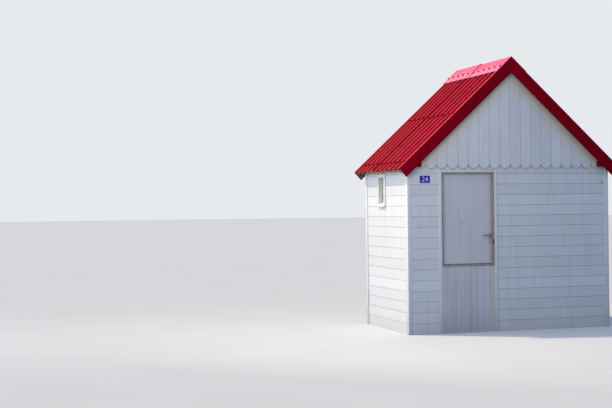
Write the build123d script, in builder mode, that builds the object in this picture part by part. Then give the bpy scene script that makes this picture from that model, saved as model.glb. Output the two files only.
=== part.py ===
"""Timber beach hut with a steep corrugated roof, one boarded door and one side window.

Frame: +X to the right along the front, the front faces -Y, +Z up. The origin is the middle
of the plan at ground level. All sizes are in millimetres.
"""
from build123d import *
import math
import os

os.makedirs("parts", exist_ok=True)

# Overall form
front_width = 3080.0  # over the corner boards
wall_depth = 1720.0  # over the corner boards
wall_height = 2285.0  # ground to the underside of the wall plates
roof_pitch = 42.5  # degrees
eave_reach = 146.0  # level distance from a corner board out to the end of the sheets
seat = 0.3  # gap left where a curved or sloping piece rests on another

# Walls
cladding = 20.0
corner_proud = 12.0  # corner boards stand this far out of the cladding
corner_front_face = 55.0
corner_side_face = 80.0
stud_depth = 70.0
stud_width = 45.0
front_overlap = 60.0  # front and back cladding reach this far up behind the gable boards

# Base and floor
bearer_width = 100.0
bearer_height = 150.0
joist_width = 50.0
joist_height = 120.0
joist_count = 7
floor_thickness = 28.0
sole_height = 45.0

# Roof timbers
plate_width = 158.0
plate_height = 75.0
purlin_width = 75.0
purlin_height = 60.0
purlin_place = 0.51  # share of the slope, from ridge to eave
ridge_beam_width = 60.0
ridge_beam_height = 112.0
rafter_depth = 90.0
rafter_thickness = 45.0

# Roof sheets
wave_pitch = 177.0
sheet_depth = 51.0  # over the waves
sheet_thickness = 6.5
crest_count = 11
lap_crest = 1  # the back sheet laps the front sheet on this crest, counted from the middle
lap_past_crest = 30.0
verge_past_crest = 27.0  # the sheet's edge lies this far past its last crest
ridge_gap = 55.0  # slope distance from the ridge line to the top of the sheets

# Ridge caps
cap_wing = 300.0
cap_thickness = 6.0
cap_fold_radius = 8.0  # on the outer side of the fold
cap_lap = 123.0
cap_verge = 2.0  # caps reach this far past the bargeboards

# Bargeboards, gable boards and friezes
barge_width = 160.0
barge_thickness = 25.0
barge_clear = 3.0  # from the sheets' edge to the back of the bargeboards
gable_board = 158.5
gable_thickness = 22.0
tips_below_plates = 20.0  # from the underside of the wall plates down to the rounded tips
frieze_height = 105.0
frieze_clear = 10.0  # between a frieze and the sheets over it

# Doorway, seen from outside
door_from_corner = 502.0  # from the left corner to the inner edge of the left casing
door_width = 792.0  # between the casings
door_foot = 938.0  # top of the sill
door_below_plates = 75.0  # from the underside of the wall plates down to the head casing
casing_width = 40.0
casing_thickness = 18.0
head_casing_height = 26.0
jamb_width = 47.0
jamb_under_casing = 19.0  # how much of a jamb the casing hides
head_lip = 11.0  # how far the head shows under its casing
lip_depth = 45.0  # from the cladding face back to the rebate
rebate = 18.0
sill_height = 24.0
sill_nose = 8.0

# Door leaf and its iron
leaf_thickness = 36.0
leaf_gap = 8.0
leaf_stop_gap = 5.0
ledge_width = 95.0  # ledges and braces on the leaf's inner face
ledge_thickness = 22.0
ledge_inset = 66.0  # from the leaf's sides to the ends of the ledges
ledge_from_end = 110.0  # from the leaf's top and bottom to the middle of a ledge
hinge_height = 90.0
hinge_inset = 170.0  # from the leaf's top and bottom to the middle of a hinge
hinge_plate = 3.0
knuckle_radius = 6.0
knuckle_gap = 0.4
pivot_behind = 7.0  # hinge axis behind the inner face of the frame
lever_backset = 37.0
lever_above_foot = 389.0  # above the foot of the leaf
lever_length = 105.0
lever_section = 14.0
lever_reach = 50.0
lever_hub_radius = 10.0
spindle_radius = 7.0
escutcheon_width = 30.0
escutcheon_height = 170.0
escutcheon_thickness = 3.0
keep_width = 22.0
keep_height = 138.0
keep_thickness = 2.0
keep_below_lever = 82.0  # to the middle of the keep plate
keep_hole_radius = 7.0

# Window in the left wall
window_from_front = 1015.0  # from the front corner to the middle of the window
window_below_plates = 72.0  # from the underside of the wall plates down to its casing
window_width = 310.0  # over its casing
window_height = 473.0
window_casing = 50.0
window_lining = 20.0
window_proud = 20.0
window_depth = 88.0
glass_thickness = 4.0
glass_setback = 54.0
window_sill_height = 38.0
window_sill_nose = 10.0  # how far the sill stands out from the casing
window_sill_inset = 20.0  # from the casing's sides to the ends of the sill

# Number plate
plate_across = 150.0
plate_up = 100.0
plate_from_corner = 188.0
plate_below_plates = 120.0  # from the underside of the wall plates down to the number plate
plate_thick = 3.0
plate_corner = 8.0
plate_rim = 5.0

# Values worked out from the sizes above
half_width = front_width / 2
half_depth = wall_depth / 2
face_x = half_width - corner_proud
face_y = half_depth - corner_proud
lined_x = face_x - cladding
lined_y = face_y - cladding
room_x = lined_x - stud_depth
room_y = lined_y - stud_depth
floor_foot = bearer_height + joist_height
floor_top = floor_foot + floor_thickness
plate_top = wall_height + plate_height
plate_inner = lined_x - plate_width
gable_foot = wall_height - tips_below_plates

slope = math.radians(roof_pitch)
rise = math.tan(slope)
ridge_z = plate_top + lined_x * rise + (sheet_depth + seat) / math.cos(slope)
slope_length = (half_width + eave_reach) / math.cos(slope)
bearing = sheet_depth + seat  # depth below the crests at which the timbers carry the sheets
beam_foot = ridge_z - bearing / math.cos(slope) - ridge_beam_height
crest_reach = wave_pitch * (crest_count - 1) / 2
sheet_reach = crest_reach + verge_past_crest
barge_back = sheet_reach + barge_clear
barge_front = barge_back + barge_thickness
wave_height = sheet_depth - sheet_thickness
wave_radius = ((wave_pitch / 4) ** 2 + (wave_height / 2) ** 2) / wave_height
wave_lean = math.asin(wave_pitch / 4 / wave_radius)
outer_radius = wave_radius + sheet_thickness / 2
inner_radius = wave_radius - sheet_thickness / 2
over_crest = math.sqrt(outer_radius**2 - lap_past_crest**2)
under_crest = math.sqrt(inner_radius**2 - lap_past_crest**2)
sheet_lift = over_crest - under_crest + seat

door_left = -half_width + door_from_corner
door_right = door_left + door_width
door_top = wall_height - door_below_plates
frame_left = door_left - jamb_under_casing
frame_right = door_right + jamb_under_casing
lip_left = frame_left + jamb_width
lip_right = frame_right - jamb_width
rebate_left = lip_left - rebate
rebate_right = lip_right + rebate
lip_top = door_top - head_lip
rebate_top = lip_top + rebate
frame_top = lip_top + jamb_width
leaf_left = rebate_left + leaf_gap
leaf_right = rebate_right - leaf_gap
leaf_foot = door_foot + leaf_gap
leaf_top = rebate_top - leaf_gap
leaf_front = -face_y + lip_depth + leaf_stop_gap
leaf_back = leaf_front + leaf_thickness
pivot_x = (rebate_left + leaf_left) / 2
pivot_y = -room_y + pivot_behind
spindle_x = leaf_right - lever_backset
lever_height = leaf_foot + lever_above_foot
keep_middle = lever_height - keep_below_lever
window_middle = -half_depth + window_from_front
window_foot = wall_height - window_below_plates - window_height


def roof_z(x, below=0.0):
    """Height, at distance x from the middle, of a plane that far below the sheets' crests."""
    return ridge_z - abs(x) * rise - below / math.cos(slope)


def roof_x(z, below=0.0):
    """Distance from the middle at which such a plane comes down to height z."""
    return (ridge_z - z - below / math.cos(slope)) / rise


def keep(piece, name):
    """Labels a finished sub-part and writes it out."""
    piece.part.label = name
    export_step(piece.part, f"parts/{name}.step")


def block(x_range, y_range, z_range):
    """Adds a squared piece that fills the three ranges to the open part."""
    with BuildSketch(Plane.XY.offset(z_range[0])) as plan:
        with Locations((sum(x_range) / 2, sum(y_range) / 2)):
            Rectangle(x_range[1] - x_range[0], y_range[1] - y_range[0])
    extrude(plan.sketch, amount=z_range[1] - z_range[0])


def upright(points, y_range):
    """Adds a board whose outline is drawn on the front, from one depth to another."""
    with BuildSketch(Plane.XZ.offset(-y_range[0])) as outline:
        Polygon(*points, align=None)
    extrude(outline.sketch, amount=-(y_range[1] - y_range[0]))


def base_bearers():
    """Three sleepers from side to side, flat on the ground."""
    with BuildPart() as bearers:
        for y in (-lined_y + bearer_width / 2, 0, lined_y - bearer_width / 2):
            block((-lined_x, lined_x), (y - bearer_width / 2, y + bearer_width / 2), (0, bearer_height))
    keep(bearers, "base_bearers")


def floor_joists():
    """Joists from front to back across the sleepers."""
    spacing = (2 * lined_x - joist_width) / (joist_count - 1)
    with BuildPart() as joists:
        with BuildSketch(Plane.XY.offset(bearer_height)):
            with GridLocations(spacing, 1, joist_count, 1):
                Rectangle(joist_width, 2 * lined_y)
        extrude(amount=joist_height)
    keep(joists, "floor_joists")


def floor_boards():
    """The floor, out to the cladding all round."""
    with BuildPart() as floor:
        block((-lined_x, lined_x), (-lined_y, lined_y), (floor_foot, floor_top))
    keep(floor, "floor_boards")


def sole_plates():
    """Timbers along the foot of each wall, between the corner posts."""
    long_reach = lined_x - stud_depth
    short_reach = lined_y - stud_depth
    heights = (floor_top, floor_top + sole_height)
    with BuildPart() as soles:
        for side in (-1, 1):
            inner, outer = sorted((side * room_y, side * lined_y))
            block((-long_reach, long_reach), (inner, outer), heights)
            inner, outer = sorted((side * room_x, side * lined_x))
            block((inner, outer), (-short_reach, short_reach), heights)
    keep(soles, "sole_plates")


def wall_posts():
    """Corner posts and studs, from floor or sole plate up to the plates and tie beams."""
    stud_foot = floor_top + sole_height
    front_studs = (frame_left - stud_width / 2, frame_right + stud_width / 2, (frame_right + room_x) / 2)
    back_studs = (-room_x / 3, room_x / 3)
    window_studs = [window_middle + s * (window_width / 2 + stud_width / 2) for s in (-1, 1)]
    with BuildPart() as posts:
        with BuildSketch(Plane.XY.offset(floor_top)) as corners:
            with GridLocations(2 * lined_x - stud_depth, 2 * lined_y - stud_depth, 2, 2):
                Rectangle(stud_depth, stud_depth)
        extrude(corners.sketch, amount=wall_height - floor_top)
        for x in front_studs:
            block((x - stud_width / 2, x + stud_width / 2), (-lined_y, -room_y), (stud_foot, wall_height))
        for x in back_studs:
            block((x - stud_width / 2, x + stud_width / 2), (room_y, lined_y), (stud_foot, wall_height))
        for y in window_studs:
            block((-lined_x, -room_x), (y - stud_width / 2, y + stud_width / 2), (stud_foot, wall_height))
        block((room_x, lined_x), (-stud_width / 2, stud_width / 2), (stud_foot, wall_height))
    keep(posts, "wall_posts")


def wall_plates():
    """Broad plates on the side walls. Their ends run out under the bargeboards."""
    with BuildPart() as plates:
        for x_range in ((-lined_x, -plate_inner), (plate_inner, lined_x)):
            block(x_range, (-barge_back, barge_back), (wall_height, plate_top))
    keep(plates, "wall_plates")


def tie_beams():
    """Beams across the front and back walls, between the wall plates."""
    with BuildPart() as ties:
        for y_range in ((-lined_y, -room_y), (room_y, lined_y)):
            block((-plate_inner, plate_inner), y_range, (wall_height, plate_top))
    keep(ties, "tie_beams")


def side_walls():
    """Cladding of the two side walls, the left one with its window cut through."""
    wall_top = roof_z(face_x, sheet_depth) - frieze_clear
    hole_width = window_width - 2 * (window_casing - window_lining)
    hole_height = window_height - 2 * (window_casing - window_lining)
    with BuildPart() as left:
        block((-face_x, -lined_x), (-lined_y, lined_y), (0, wall_top))
        with BuildSketch(Plane.YZ.offset(-face_x)):
            with Locations((window_middle, window_foot + window_height / 2)):
                Rectangle(hole_width, hole_height)
        extrude(amount=cladding, mode=Mode.SUBTRACT)
    keep(left, "left_wall")
    with BuildPart() as right:
        block((lined_x, face_x), (-lined_y, lined_y), (0, wall_top))
    keep(right, "right_wall")


def end_wall_points(x_from, x_to):
    """Outline of front or back cladding from x_from to x_to, notched under a wall plate."""
    top = wall_height + front_overlap
    points = [(x_from, 0), (x_to, 0)]
    if x_to > plate_inner:
        points += [(x_to, wall_height), (plate_inner, wall_height), (plate_inner, top)]
    else:
        points += [(x_to, top)]
    if x_from < -plate_inner:
        points += [(-plate_inner, top), (-plate_inner, wall_height), (x_from, wall_height)]
    else:
        points += [(x_from, top)]
    return points


def end_walls():
    """Cladding of the back, and of the front beside, over and under the doorway."""
    with BuildPart() as back:
        upright(end_wall_points(-face_x, face_x), (lined_y, face_y))
    keep(back, "back_wall")
    with BuildPart() as front_left:
        upright(end_wall_points(-face_x, frame_left), (-face_y, -lined_y))
    keep(front_left, "front_wall_left")
    with BuildPart() as front_right:
        upright(end_wall_points(frame_right, face_x), (-face_y, -lined_y))
    keep(front_right, "front_wall_right")
    with BuildPart() as over_door:
        block((frame_left, frame_right), (-face_y, -lined_y), (frame_top, wall_height + front_overlap))
    keep(over_door, "front_wall_over_door")
    with BuildPart() as lower:
        block((frame_left, frame_right), (-face_y, -lined_y), (0, door_foot - sill_height))
    keep(lower, "lower_panel")


def corner_boards():
    """Two boards round each corner, made as one L from the ground to the wall plate."""
    with BuildPart() as corners:
        with BuildSketch():
            with GridLocations(front_width - corner_front_face, wall_depth - corner_proud, 2, 2):
                Rectangle(corner_front_face, corner_proud)
            with GridLocations(front_width - corner_proud, wall_depth - corner_side_face, 2, 2):
                Rectangle(corner_proud, corner_side_face)
        extrude(amount=wall_height)
    keep(corners, "corner_boards")


def friezes():
    """Plain boards along the top of the side walls, close under the sheets."""
    top = roof_z(half_width, sheet_depth) - frieze_clear
    reach = half_depth - corner_side_face
    with BuildPart() as boards:
        for x_range in ((-half_width, -face_x), (face_x, half_width)):
            block(x_range, (-reach, reach), (top - frieze_height, top))
    keep(boards, "eave_friezes")


def gable_boards():
    """Upright boards with rounded feet, cut round the plates, the purlins and the ridge beam."""
    board_reach = math.ceil(plate_inner / gable_board)
    cusp = gable_foot + gable_board / 2
    outline = [(-roof_x(cusp, bearing), cusp), (roof_x(cusp, bearing), cusp), (0, roof_z(0, bearing))]
    beam_notch = ridge_z - beam_foot + seat
    with BuildPart() as front:
        with BuildSketch(Plane.XZ.offset(face_y)):
            Polygon(*outline, align=None)
            with Locations((0, cusp)):
                with GridLocations(gable_board, 1, 2 * board_reach, 1):
                    Circle(gable_board / 2)
            with Locations((0, (gable_foot + plate_top) / 2)):
                for side in (-1, 1):
                    beyond = plate_inner - seat + front_width / 2
                    with Locations((side * beyond, 0)):
                        Rectangle(front_width, plate_top + 2 * seat - gable_foot, mode=Mode.SUBTRACT)
            with Locations((0, ridge_z - beam_notch / 2)):
                Rectangle(ridge_beam_width + 2 * seat, beam_notch, mode=Mode.SUBTRACT)
            for side in (-1, 1):
                with Locations(purlin_middle(side)):
                    Rectangle(
                        purlin_width + 2 * seat,
                        purlin_height + 2 * seat,
                        rotation=-side * roof_pitch,
                        mode=Mode.SUBTRACT,
                    )
        extrude(amount=gable_thickness)
    keep(front, "gable_boards_front")
    with BuildPart() as back:
        mirror(front.part, about=Plane.XZ)
    keep(back, "gable_boards_back")


def purlin_middle(side):
    """Middle of a purlin's section, as (x, z)."""
    down_slope = slope_length * purlin_place
    below = bearing + purlin_height / 2
    across = down_slope * math.cos(slope) - below * math.sin(slope)
    return (side * across, ridge_z - down_slope * math.sin(slope) - below * math.cos(slope))


def roof_timbers():
    """Ridge beam, purlins, and the rafters and king posts that carry them in each gable."""
    half_beam = ridge_beam_width / 2
    shoulder = roof_z(half_beam, bearing)
    with BuildPart() as beam:
        section = [(-half_beam, beam_foot), (half_beam, beam_foot), (half_beam, shoulder)]
        section += [(0, roof_z(0, bearing)), (-half_beam, shoulder)]
        upright(section, (-barge_back, barge_back))
    keep(beam, "ridge_beam")
    with BuildPart() as purlins:
        with BuildSketch(Plane.XZ.offset(-barge_back)):
            for side in (-1, 1):
                with Locations(purlin_middle(side)):
                    Rectangle(purlin_width, purlin_height, rotation=-side * roof_pitch)
        extrude(amount=2 * barge_back)
    keep(purlins, "purlins")
    upper = bearing + purlin_height + seat
    lower = upper + rafter_depth
    head = half_beam + seat
    foot = plate_top + seat
    with BuildPart() as frames:
        for y_range in ((-face_y, -face_y + rafter_thickness), (face_y - rafter_thickness, face_y)):
            for side in (-1, 1):
                rafter = [(head, roof_z(head, lower)), (roof_x(foot, lower), foot)]
                rafter += [(roof_x(foot, upper), foot), (head, roof_z(head, upper))]
                upright([(side * x, z) for x, z in rafter], y_range)
            block((-half_beam, half_beam), y_range, (foot, beam_foot))
    keep(frames, "gable_frames")


def bargeboards():
    """Boards up each gable edge, mitred at the ridge and cut square at the foot."""
    foot_x = half_width + eave_reach
    foot_z = roof_z(foot_x)
    tip = (foot_x - barge_width * math.sin(slope), foot_z - barge_width * math.cos(slope))
    outline = [(0, ridge_z), (0, roof_z(0, barge_width)), tip, (foot_x, foot_z)]
    for end, y_range in (("front", (-barge_front, -barge_back)), ("back", (barge_back, barge_front))):
        for side, word in ((-1, "left"), (1, "right")):
            with BuildPart() as board:
                upright([(side * x, z) for x, z in outline], y_range)
            keep(board, f"bargeboard_{end}_{word}")


def wave_band(first, last):
    """Section of a corrugated sheet: y along the roof from first to last, crests at height 0."""
    middle = -sheet_depth / 2
    first_crest = math.floor(first / wave_pitch) - 1
    last_crest = math.ceil(last / wave_pitch) + 1

    def skin(offset):
        """Arcs of one face, three points to each, at that offset from the sheet's middle."""
        arcs = []
        for half_wave in range(2 * first_crest, 2 * last_crest):
            turn = 1 if half_wave % 2 == 0 else -1
            at = half_wave * wave_pitch / 2
            hub = middle + turn * (wave_height / 2 - wave_radius)
            radius = wave_radius + turn * offset
            across = radius * math.sin(wave_lean)
            up = hub + turn * radius * math.cos(wave_lean)
            arcs.append(((at - across, up), (at, hub + turn * radius), (at + across, up)))
        return arcs

    with BuildSketch() as band:
        with BuildLine():
            upper = skin(sheet_thickness / 2)
            lower = skin(-sheet_thickness / 2)
            for arcs in (upper, lower):
                for arc in arcs:
                    ThreePointArc(*arc)
            Line(upper[0][0], lower[0][0])
            Line(upper[-1][2], lower[-1][2])
        make_face()
        with Locations(((first + last) / 2, middle)):
            Rectangle(last - first, 2 * sheet_depth, mode=Mode.INTERSECT)
    return band.sketch


def roof_sheets():
    """Corrugated sheets, two to a slope. The back one laps over the front one."""
    lap = lap_crest * wave_pitch
    spans = {
        "front": (-sheet_reach, lap + lap_past_crest, 0.0),
        "back": (lap - lap_past_crest, sheet_reach, sheet_lift),
    }
    for end, (first, last, lift) in spans.items():
        eave = Plane(
            origin=(-half_width - eave_reach, 0, roof_z(half_width + eave_reach)),
            x_dir=(0, 1, 0),
            z_dir=(math.cos(slope), 0, math.sin(slope)),
        )
        with BuildPart() as left:
            section = eave * Pos(0, lift, 0) * wave_band(first, last)
            extrude(section, amount=slope_length - ridge_gap)
        keep(left, f"roof_sheet_left_{end}")
        with BuildPart() as right:
            mirror(left.part, about=Plane.YZ)
        keep(right, f"roof_sheet_right_{end}")


def cap_outline(lift):
    """Section of a ridge cap that lies that far above the sheets' crests."""
    wing_z = ridge_z - cap_wing * math.sin(slope)
    inner_x = cap_wing * math.cos(slope) + lift * math.sin(slope)
    inner_z = wing_z + lift * math.cos(slope)
    outer_x = inner_x + cap_thickness * math.sin(slope)
    outer_z = inner_z + cap_thickness * math.cos(slope)
    outer = [(-outer_x, outer_z), (0, roof_z(0, -lift - cap_thickness)), (outer_x, outer_z)]
    inner = [(inner_x, inner_z), (0, roof_z(0, -lift)), (-inner_x, inner_z)]
    return outer + inner


def ridge_caps():
    """Folded caps over the ridge. The back one laps over the front one."""
    lap = lap_crest * wave_pitch
    front_end = lap - lap_past_crest - seat
    spans = {
        "front": (-barge_front - cap_verge, front_end, seat),
        "back": (front_end - cap_lap, barge_front + cap_verge, sheet_lift + seat),
    }
    for end, (first, last, lift) in spans.items():
        with BuildPart() as cap:
            with BuildSketch(Plane.XZ.offset(-first)):
                Polygon(*cap_outline(lift), align=None)
            extrude(amount=-(last - first))
            fillet(cap.edges().filter_by(Axis.Y).sort_by(Axis.Z)[-1], radius=cap_fold_radius)
        keep(cap, f"ridge_cap_{end}")


def door_frame():
    """Jambs and head with a rebate for the leaf, and a bare sill on the lower panel."""
    stop = -face_y + lip_depth
    with BuildPart() as jambs:
        for outer, lip, step in ((frame_left, lip_left, rebate_left), (frame_right, lip_right, rebate_right)):
            with BuildSketch(Plane.XY.offset(door_foot)) as plan:
                section = [(outer, -face_y), (lip, -face_y), (lip, stop)]
                section += [(step, stop), (step, -room_y), (outer, -room_y)]
                Polygon(*section, align=None)
            extrude(plan.sketch, amount=lip_top - door_foot)
    keep(jambs, "door_jambs")
    with BuildPart() as head:
        with BuildSketch(Plane.YZ.offset(frame_left)):
            section = [(-face_y, lip_top), (stop, lip_top), (stop, rebate_top)]
            section += [(-room_y, rebate_top), (-room_y, frame_top), (-face_y, frame_top)]
            Polygon(*section, align=None)
        extrude(amount=frame_right - frame_left)
        for x_range in ((frame_left, rebate_left), (rebate_right, frame_right)):
            block(x_range, (stop, -room_y), (lip_top, rebate_top))
    keep(head, "door_head")
    with BuildPart() as sill:
        heights = (door_foot - sill_height, door_foot)
        block((frame_left, frame_right), (-face_y, -room_y), heights)
        block((door_left, door_right), (-face_y - sill_nose, -face_y), heights)
    keep(sill, "door_sill")


def door_casing():
    """Flat boards round the doorway. The side ones run down to the ground."""
    y_range = (-face_y - casing_thickness, -face_y)
    with BuildPart() as sides:
        for x_range in ((door_left - casing_width, door_left), (door_right, door_right + casing_width)):
            block(x_range, y_range, (0, door_top + head_casing_height))
    keep(sides, "door_casing_sides")
    with BuildPart() as head:
        block((door_left, door_right), y_range, (door_top, door_top + head_casing_height))
    keep(head, "door_casing_head")


def door_leaf():
    """The leaf with three ledges and two braces inside, bored for the lever's spindle."""
    left, right = leaf_left + ledge_inset, leaf_right - ledge_inset
    ledge_range = (leaf_back, leaf_back + ledge_thickness)
    middles = (leaf_foot + ledge_from_end, (leaf_foot + leaf_top) / 2, leaf_top - ledge_from_end)
    with BuildPart() as leaf:
        block((leaf_left, leaf_right), (leaf_front, leaf_back), (leaf_foot, leaf_top))
        for middle in middles:
            block((left, right), ledge_range, (middle - ledge_width / 2, middle + ledge_width / 2))
        for below, above in zip(middles, middles[1:]):
            foot, head = below + ledge_width / 2, above - ledge_width / 2
            brace = [(left, foot), (left + ledge_width, foot), (right, head), (right - ledge_width, head)]
            upright(brace, ledge_range)
        with BuildSketch(Plane.XZ.offset(-leaf_front)):
            with Locations((spindle_x, lever_height)):
                Circle(spindle_radius + seat)
        extrude(amount=-leaf_thickness, mode=Mode.SUBTRACT)
    keep(leaf, "door_leaf")


def hinge_places():
    """Heights of the hinges' middles."""
    return (leaf_foot + hinge_inset, leaf_top - hinge_inset)


def door_hinges():
    """Cranked butt hinges on the inner side: two knuckles on the frame, one on the leaf."""
    third = hinge_height / 3
    with BuildPart() as fixed:
        for middle in hinge_places():
            foot = middle - hinge_height / 2
            wing = (frame_left, rebate_left - hinge_plate)
            block(wing, (-room_y, -room_y + hinge_plate), (foot, foot + hinge_height))
            for start in (foot, foot + 2 * third):
                block((rebate_left - 2 * hinge_plate, pivot_x), (-room_y, pivot_y), (start, start + third))
                with BuildSketch(Plane.XY.offset(start)) as knuckle:
                    with Locations((pivot_x, pivot_y)):
                        Circle(knuckle_radius)
                extrude(knuckle.sketch, amount=third)
    keep(fixed, "hinges_on_frame")
    with BuildPart() as moving:
        for middle in hinge_places():
            foot = middle - hinge_height / 2
            inner = leaf_left + hinge_plate
            wing = (inner, inner + jamb_width)
            block(wing, (leaf_back, leaf_back + hinge_plate), (foot, foot + hinge_height))
            start = foot + third + knuckle_gap
            height = third - 2 * knuckle_gap
            block((pivot_x, inner + hinge_plate), (leaf_back, pivot_y), (start, start + height))
            with BuildSketch(Plane.XY.offset(start)) as knuckle:
                with Locations((pivot_x, pivot_y)):
                    Circle(knuckle_radius)
            extrude(knuckle.sketch, amount=height)
    keep(moving, "hinges_on_leaf")


def lever_plates():
    """Long narrow plates behind the levers, one on each face of the leaf."""
    with BuildPart() as plates:
        for face, way in ((leaf_front, 1), (leaf_back, -1)):
            with BuildSketch(Plane.XZ.offset(-face)) as outline:
                with Locations((spindle_x, lever_height - escutcheon_height / 4)):
                    RectangleRounded(escutcheon_width, escutcheon_height, escutcheon_width / 3)
                with Locations((spindle_x, lever_height)):
                    Circle(spindle_radius + seat, mode=Mode.SUBTRACT)
            extrude(outline.sketch, amount=way * escutcheon_thickness)
    keep(plates, "lever_plates")


def lever_handles():
    """A lever on each face, joined by the spindle through the leaf."""
    plate_front = leaf_front - escutcheon_thickness
    plate_back = leaf_back + escutcheon_thickness
    with BuildPart() as levers:
        with BuildSketch(Plane.XZ.offset(-plate_front + lever_reach)) as spindle:
            with Locations((spindle_x, lever_height)):
                Circle(spindle_radius)
        extrude(spindle.sketch, amount=-(plate_back - plate_front + 2 * lever_reach))
        for near, way in ((plate_front, 1), (plate_back, -1)):
            with BuildSketch(Plane.XZ.offset(-near + way * seat)) as hub:
                with Locations((spindle_x, lever_height)):
                    Circle(lever_hub_radius)
            extrude(hub.sketch, amount=way * lever_reach)
            with BuildSketch(Plane.XZ.offset(-near + way * (lever_reach - lever_section))) as bar:
                with Locations((spindle_x - lever_length / 2, lever_height)):
                    SlotOverall(lever_length + lever_section, lever_section)
            extrude(bar.sketch, amount=way * lever_section)
    keep(levers, "lever_handles")


def keep_plate():
    """Keep on the face of the right jamb, with its hole."""
    with BuildPart() as plate:
        with BuildSketch(Plane.XZ.offset(face_y)):
            with Locations(((lip_right + door_right) / 2, keep_middle)):
                RectangleRounded(keep_width, keep_height, keep_thickness)
                Circle(keep_hole_radius, mode=Mode.SUBTRACT)
        extrude(amount=keep_thickness)
    keep(plate, "keep_plate")


def window():
    """Fixed window: a casing with a lining through the wall, a pane and an outer sill."""
    middle = (window_middle, window_foot + window_height / 2)
    clear = (window_width - 2 * window_casing, window_height - 2 * window_casing)
    lining = (clear[0] + 2 * window_lining, clear[1] + 2 * window_lining)
    outer_face = -face_x - window_proud
    with BuildPart() as frame:
        with BuildSketch(Plane.YZ.offset(outer_face)) as casing:
            with Locations(middle):
                Rectangle(window_width, window_height)
                Rectangle(*clear, mode=Mode.SUBTRACT)
        extrude(amount=window_proud)
        with BuildSketch(Plane.YZ.offset(outer_face)) as box:
            with Locations(middle):
                Rectangle(*lining)
                Rectangle(*clear, mode=Mode.SUBTRACT)
        extrude(amount=window_depth)
    keep(frame, "window_frame")
    with BuildPart() as glass:
        with BuildSketch(Plane.YZ.offset(outer_face + glass_setback)):
            with Locations(middle):
                Rectangle(*clear)
        extrude(amount=glass_thickness)
    keep(glass, "window_glass")
    with BuildPart() as sill:
        with BuildSketch(Plane.XZ.offset(-(window_middle - window_width / 2 + window_sill_inset))):
            Polygon(
                (outer_face, window_foot),
                (outer_face, window_foot + window_sill_height),
                (outer_face - window_sill_nose, window_foot + 0.75 * window_sill_height),
                (outer_face - window_sill_nose, window_foot),
                align=None,
            )
        extrude(amount=-(window_width - 2 * window_sill_inset))
    keep(sill, "window_sill")


def number_plate():
    """Small enamel plate with a raised rim."""
    left = -half_width + plate_from_corner
    top = wall_height - plate_below_plates
    middle = (left + plate_across / 2, top - plate_up / 2)
    with BuildPart() as plate:
        with BuildSketch(Plane.XZ.offset(face_y)):
            with Locations(middle):
                RectangleRounded(plate_across, plate_up, plate_corner)
        extrude(amount=plate_thick)
        with BuildSketch(Plane.XZ.offset(face_y + plate_thick)):
            with Locations(middle):
                field = (plate_across - 2 * plate_rim, plate_up - 2 * plate_rim)
                RectangleRounded(*field, plate_corner - plate_rim / 2)
        extrude(amount=-plate_thick / 3, mode=Mode.SUBTRACT)
    keep(plate, "number_plate")


base_bearers()
floor_joists()
floor_boards()
sole_plates()
wall_posts()
wall_plates()
tie_beams()
side_walls()
end_walls()
corner_boards()
friezes()
gable_boards()
roof_timbers()
bargeboards()
roof_sheets()
ridge_caps()
door_frame()
door_casing()
door_leaf()
door_hinges()
lever_plates()
lever_handles()
keep_plate()
window()
number_plate()
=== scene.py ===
"""Looks of the timber beach hut: its boards, paint, roof sheets, door, window and stage."""
import math
from contextlib import contextmanager

import bmesh
import bpy
from bpy.props import FloatProperty, FloatVectorProperty, PointerProperty, StringProperty
from mathutils import Matrix, Vector


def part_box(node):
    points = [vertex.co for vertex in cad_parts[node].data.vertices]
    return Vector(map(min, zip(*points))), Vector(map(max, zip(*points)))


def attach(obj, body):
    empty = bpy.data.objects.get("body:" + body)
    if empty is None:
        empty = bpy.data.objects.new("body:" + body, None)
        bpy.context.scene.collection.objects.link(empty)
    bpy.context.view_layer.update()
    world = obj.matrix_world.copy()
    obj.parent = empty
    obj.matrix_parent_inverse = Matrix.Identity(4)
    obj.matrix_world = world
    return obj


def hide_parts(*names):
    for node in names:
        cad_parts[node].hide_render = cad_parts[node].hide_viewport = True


bl_info = {
    "name": "Beach hut",
    "version": (1, 0, 0),
    "blender": (4, 5, 0),
    "location": "View3D > Sidebar > Beach hut",
    "description": "Boards, paint and fastenings for a timber beach hut with a corrugated roof",
    "category": "Object",
}

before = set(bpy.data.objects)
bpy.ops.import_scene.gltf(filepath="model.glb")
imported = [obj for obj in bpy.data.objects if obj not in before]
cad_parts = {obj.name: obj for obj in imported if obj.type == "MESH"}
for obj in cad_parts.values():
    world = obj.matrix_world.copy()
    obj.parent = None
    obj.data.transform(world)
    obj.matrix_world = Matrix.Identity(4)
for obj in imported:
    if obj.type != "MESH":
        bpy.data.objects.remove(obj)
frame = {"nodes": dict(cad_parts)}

X, Y, Z = 0, 1, 2
FRONT, BACK, ALONG = (0, -1, 0), (0, 1, 0), (1, 0, 0)
PAST = 0.002  # cutters reach this far past the faces they cut
WHOLE = 9.0  # board width for timber of one piece
SMOOTH_BELOW = math.radians(32)

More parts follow.
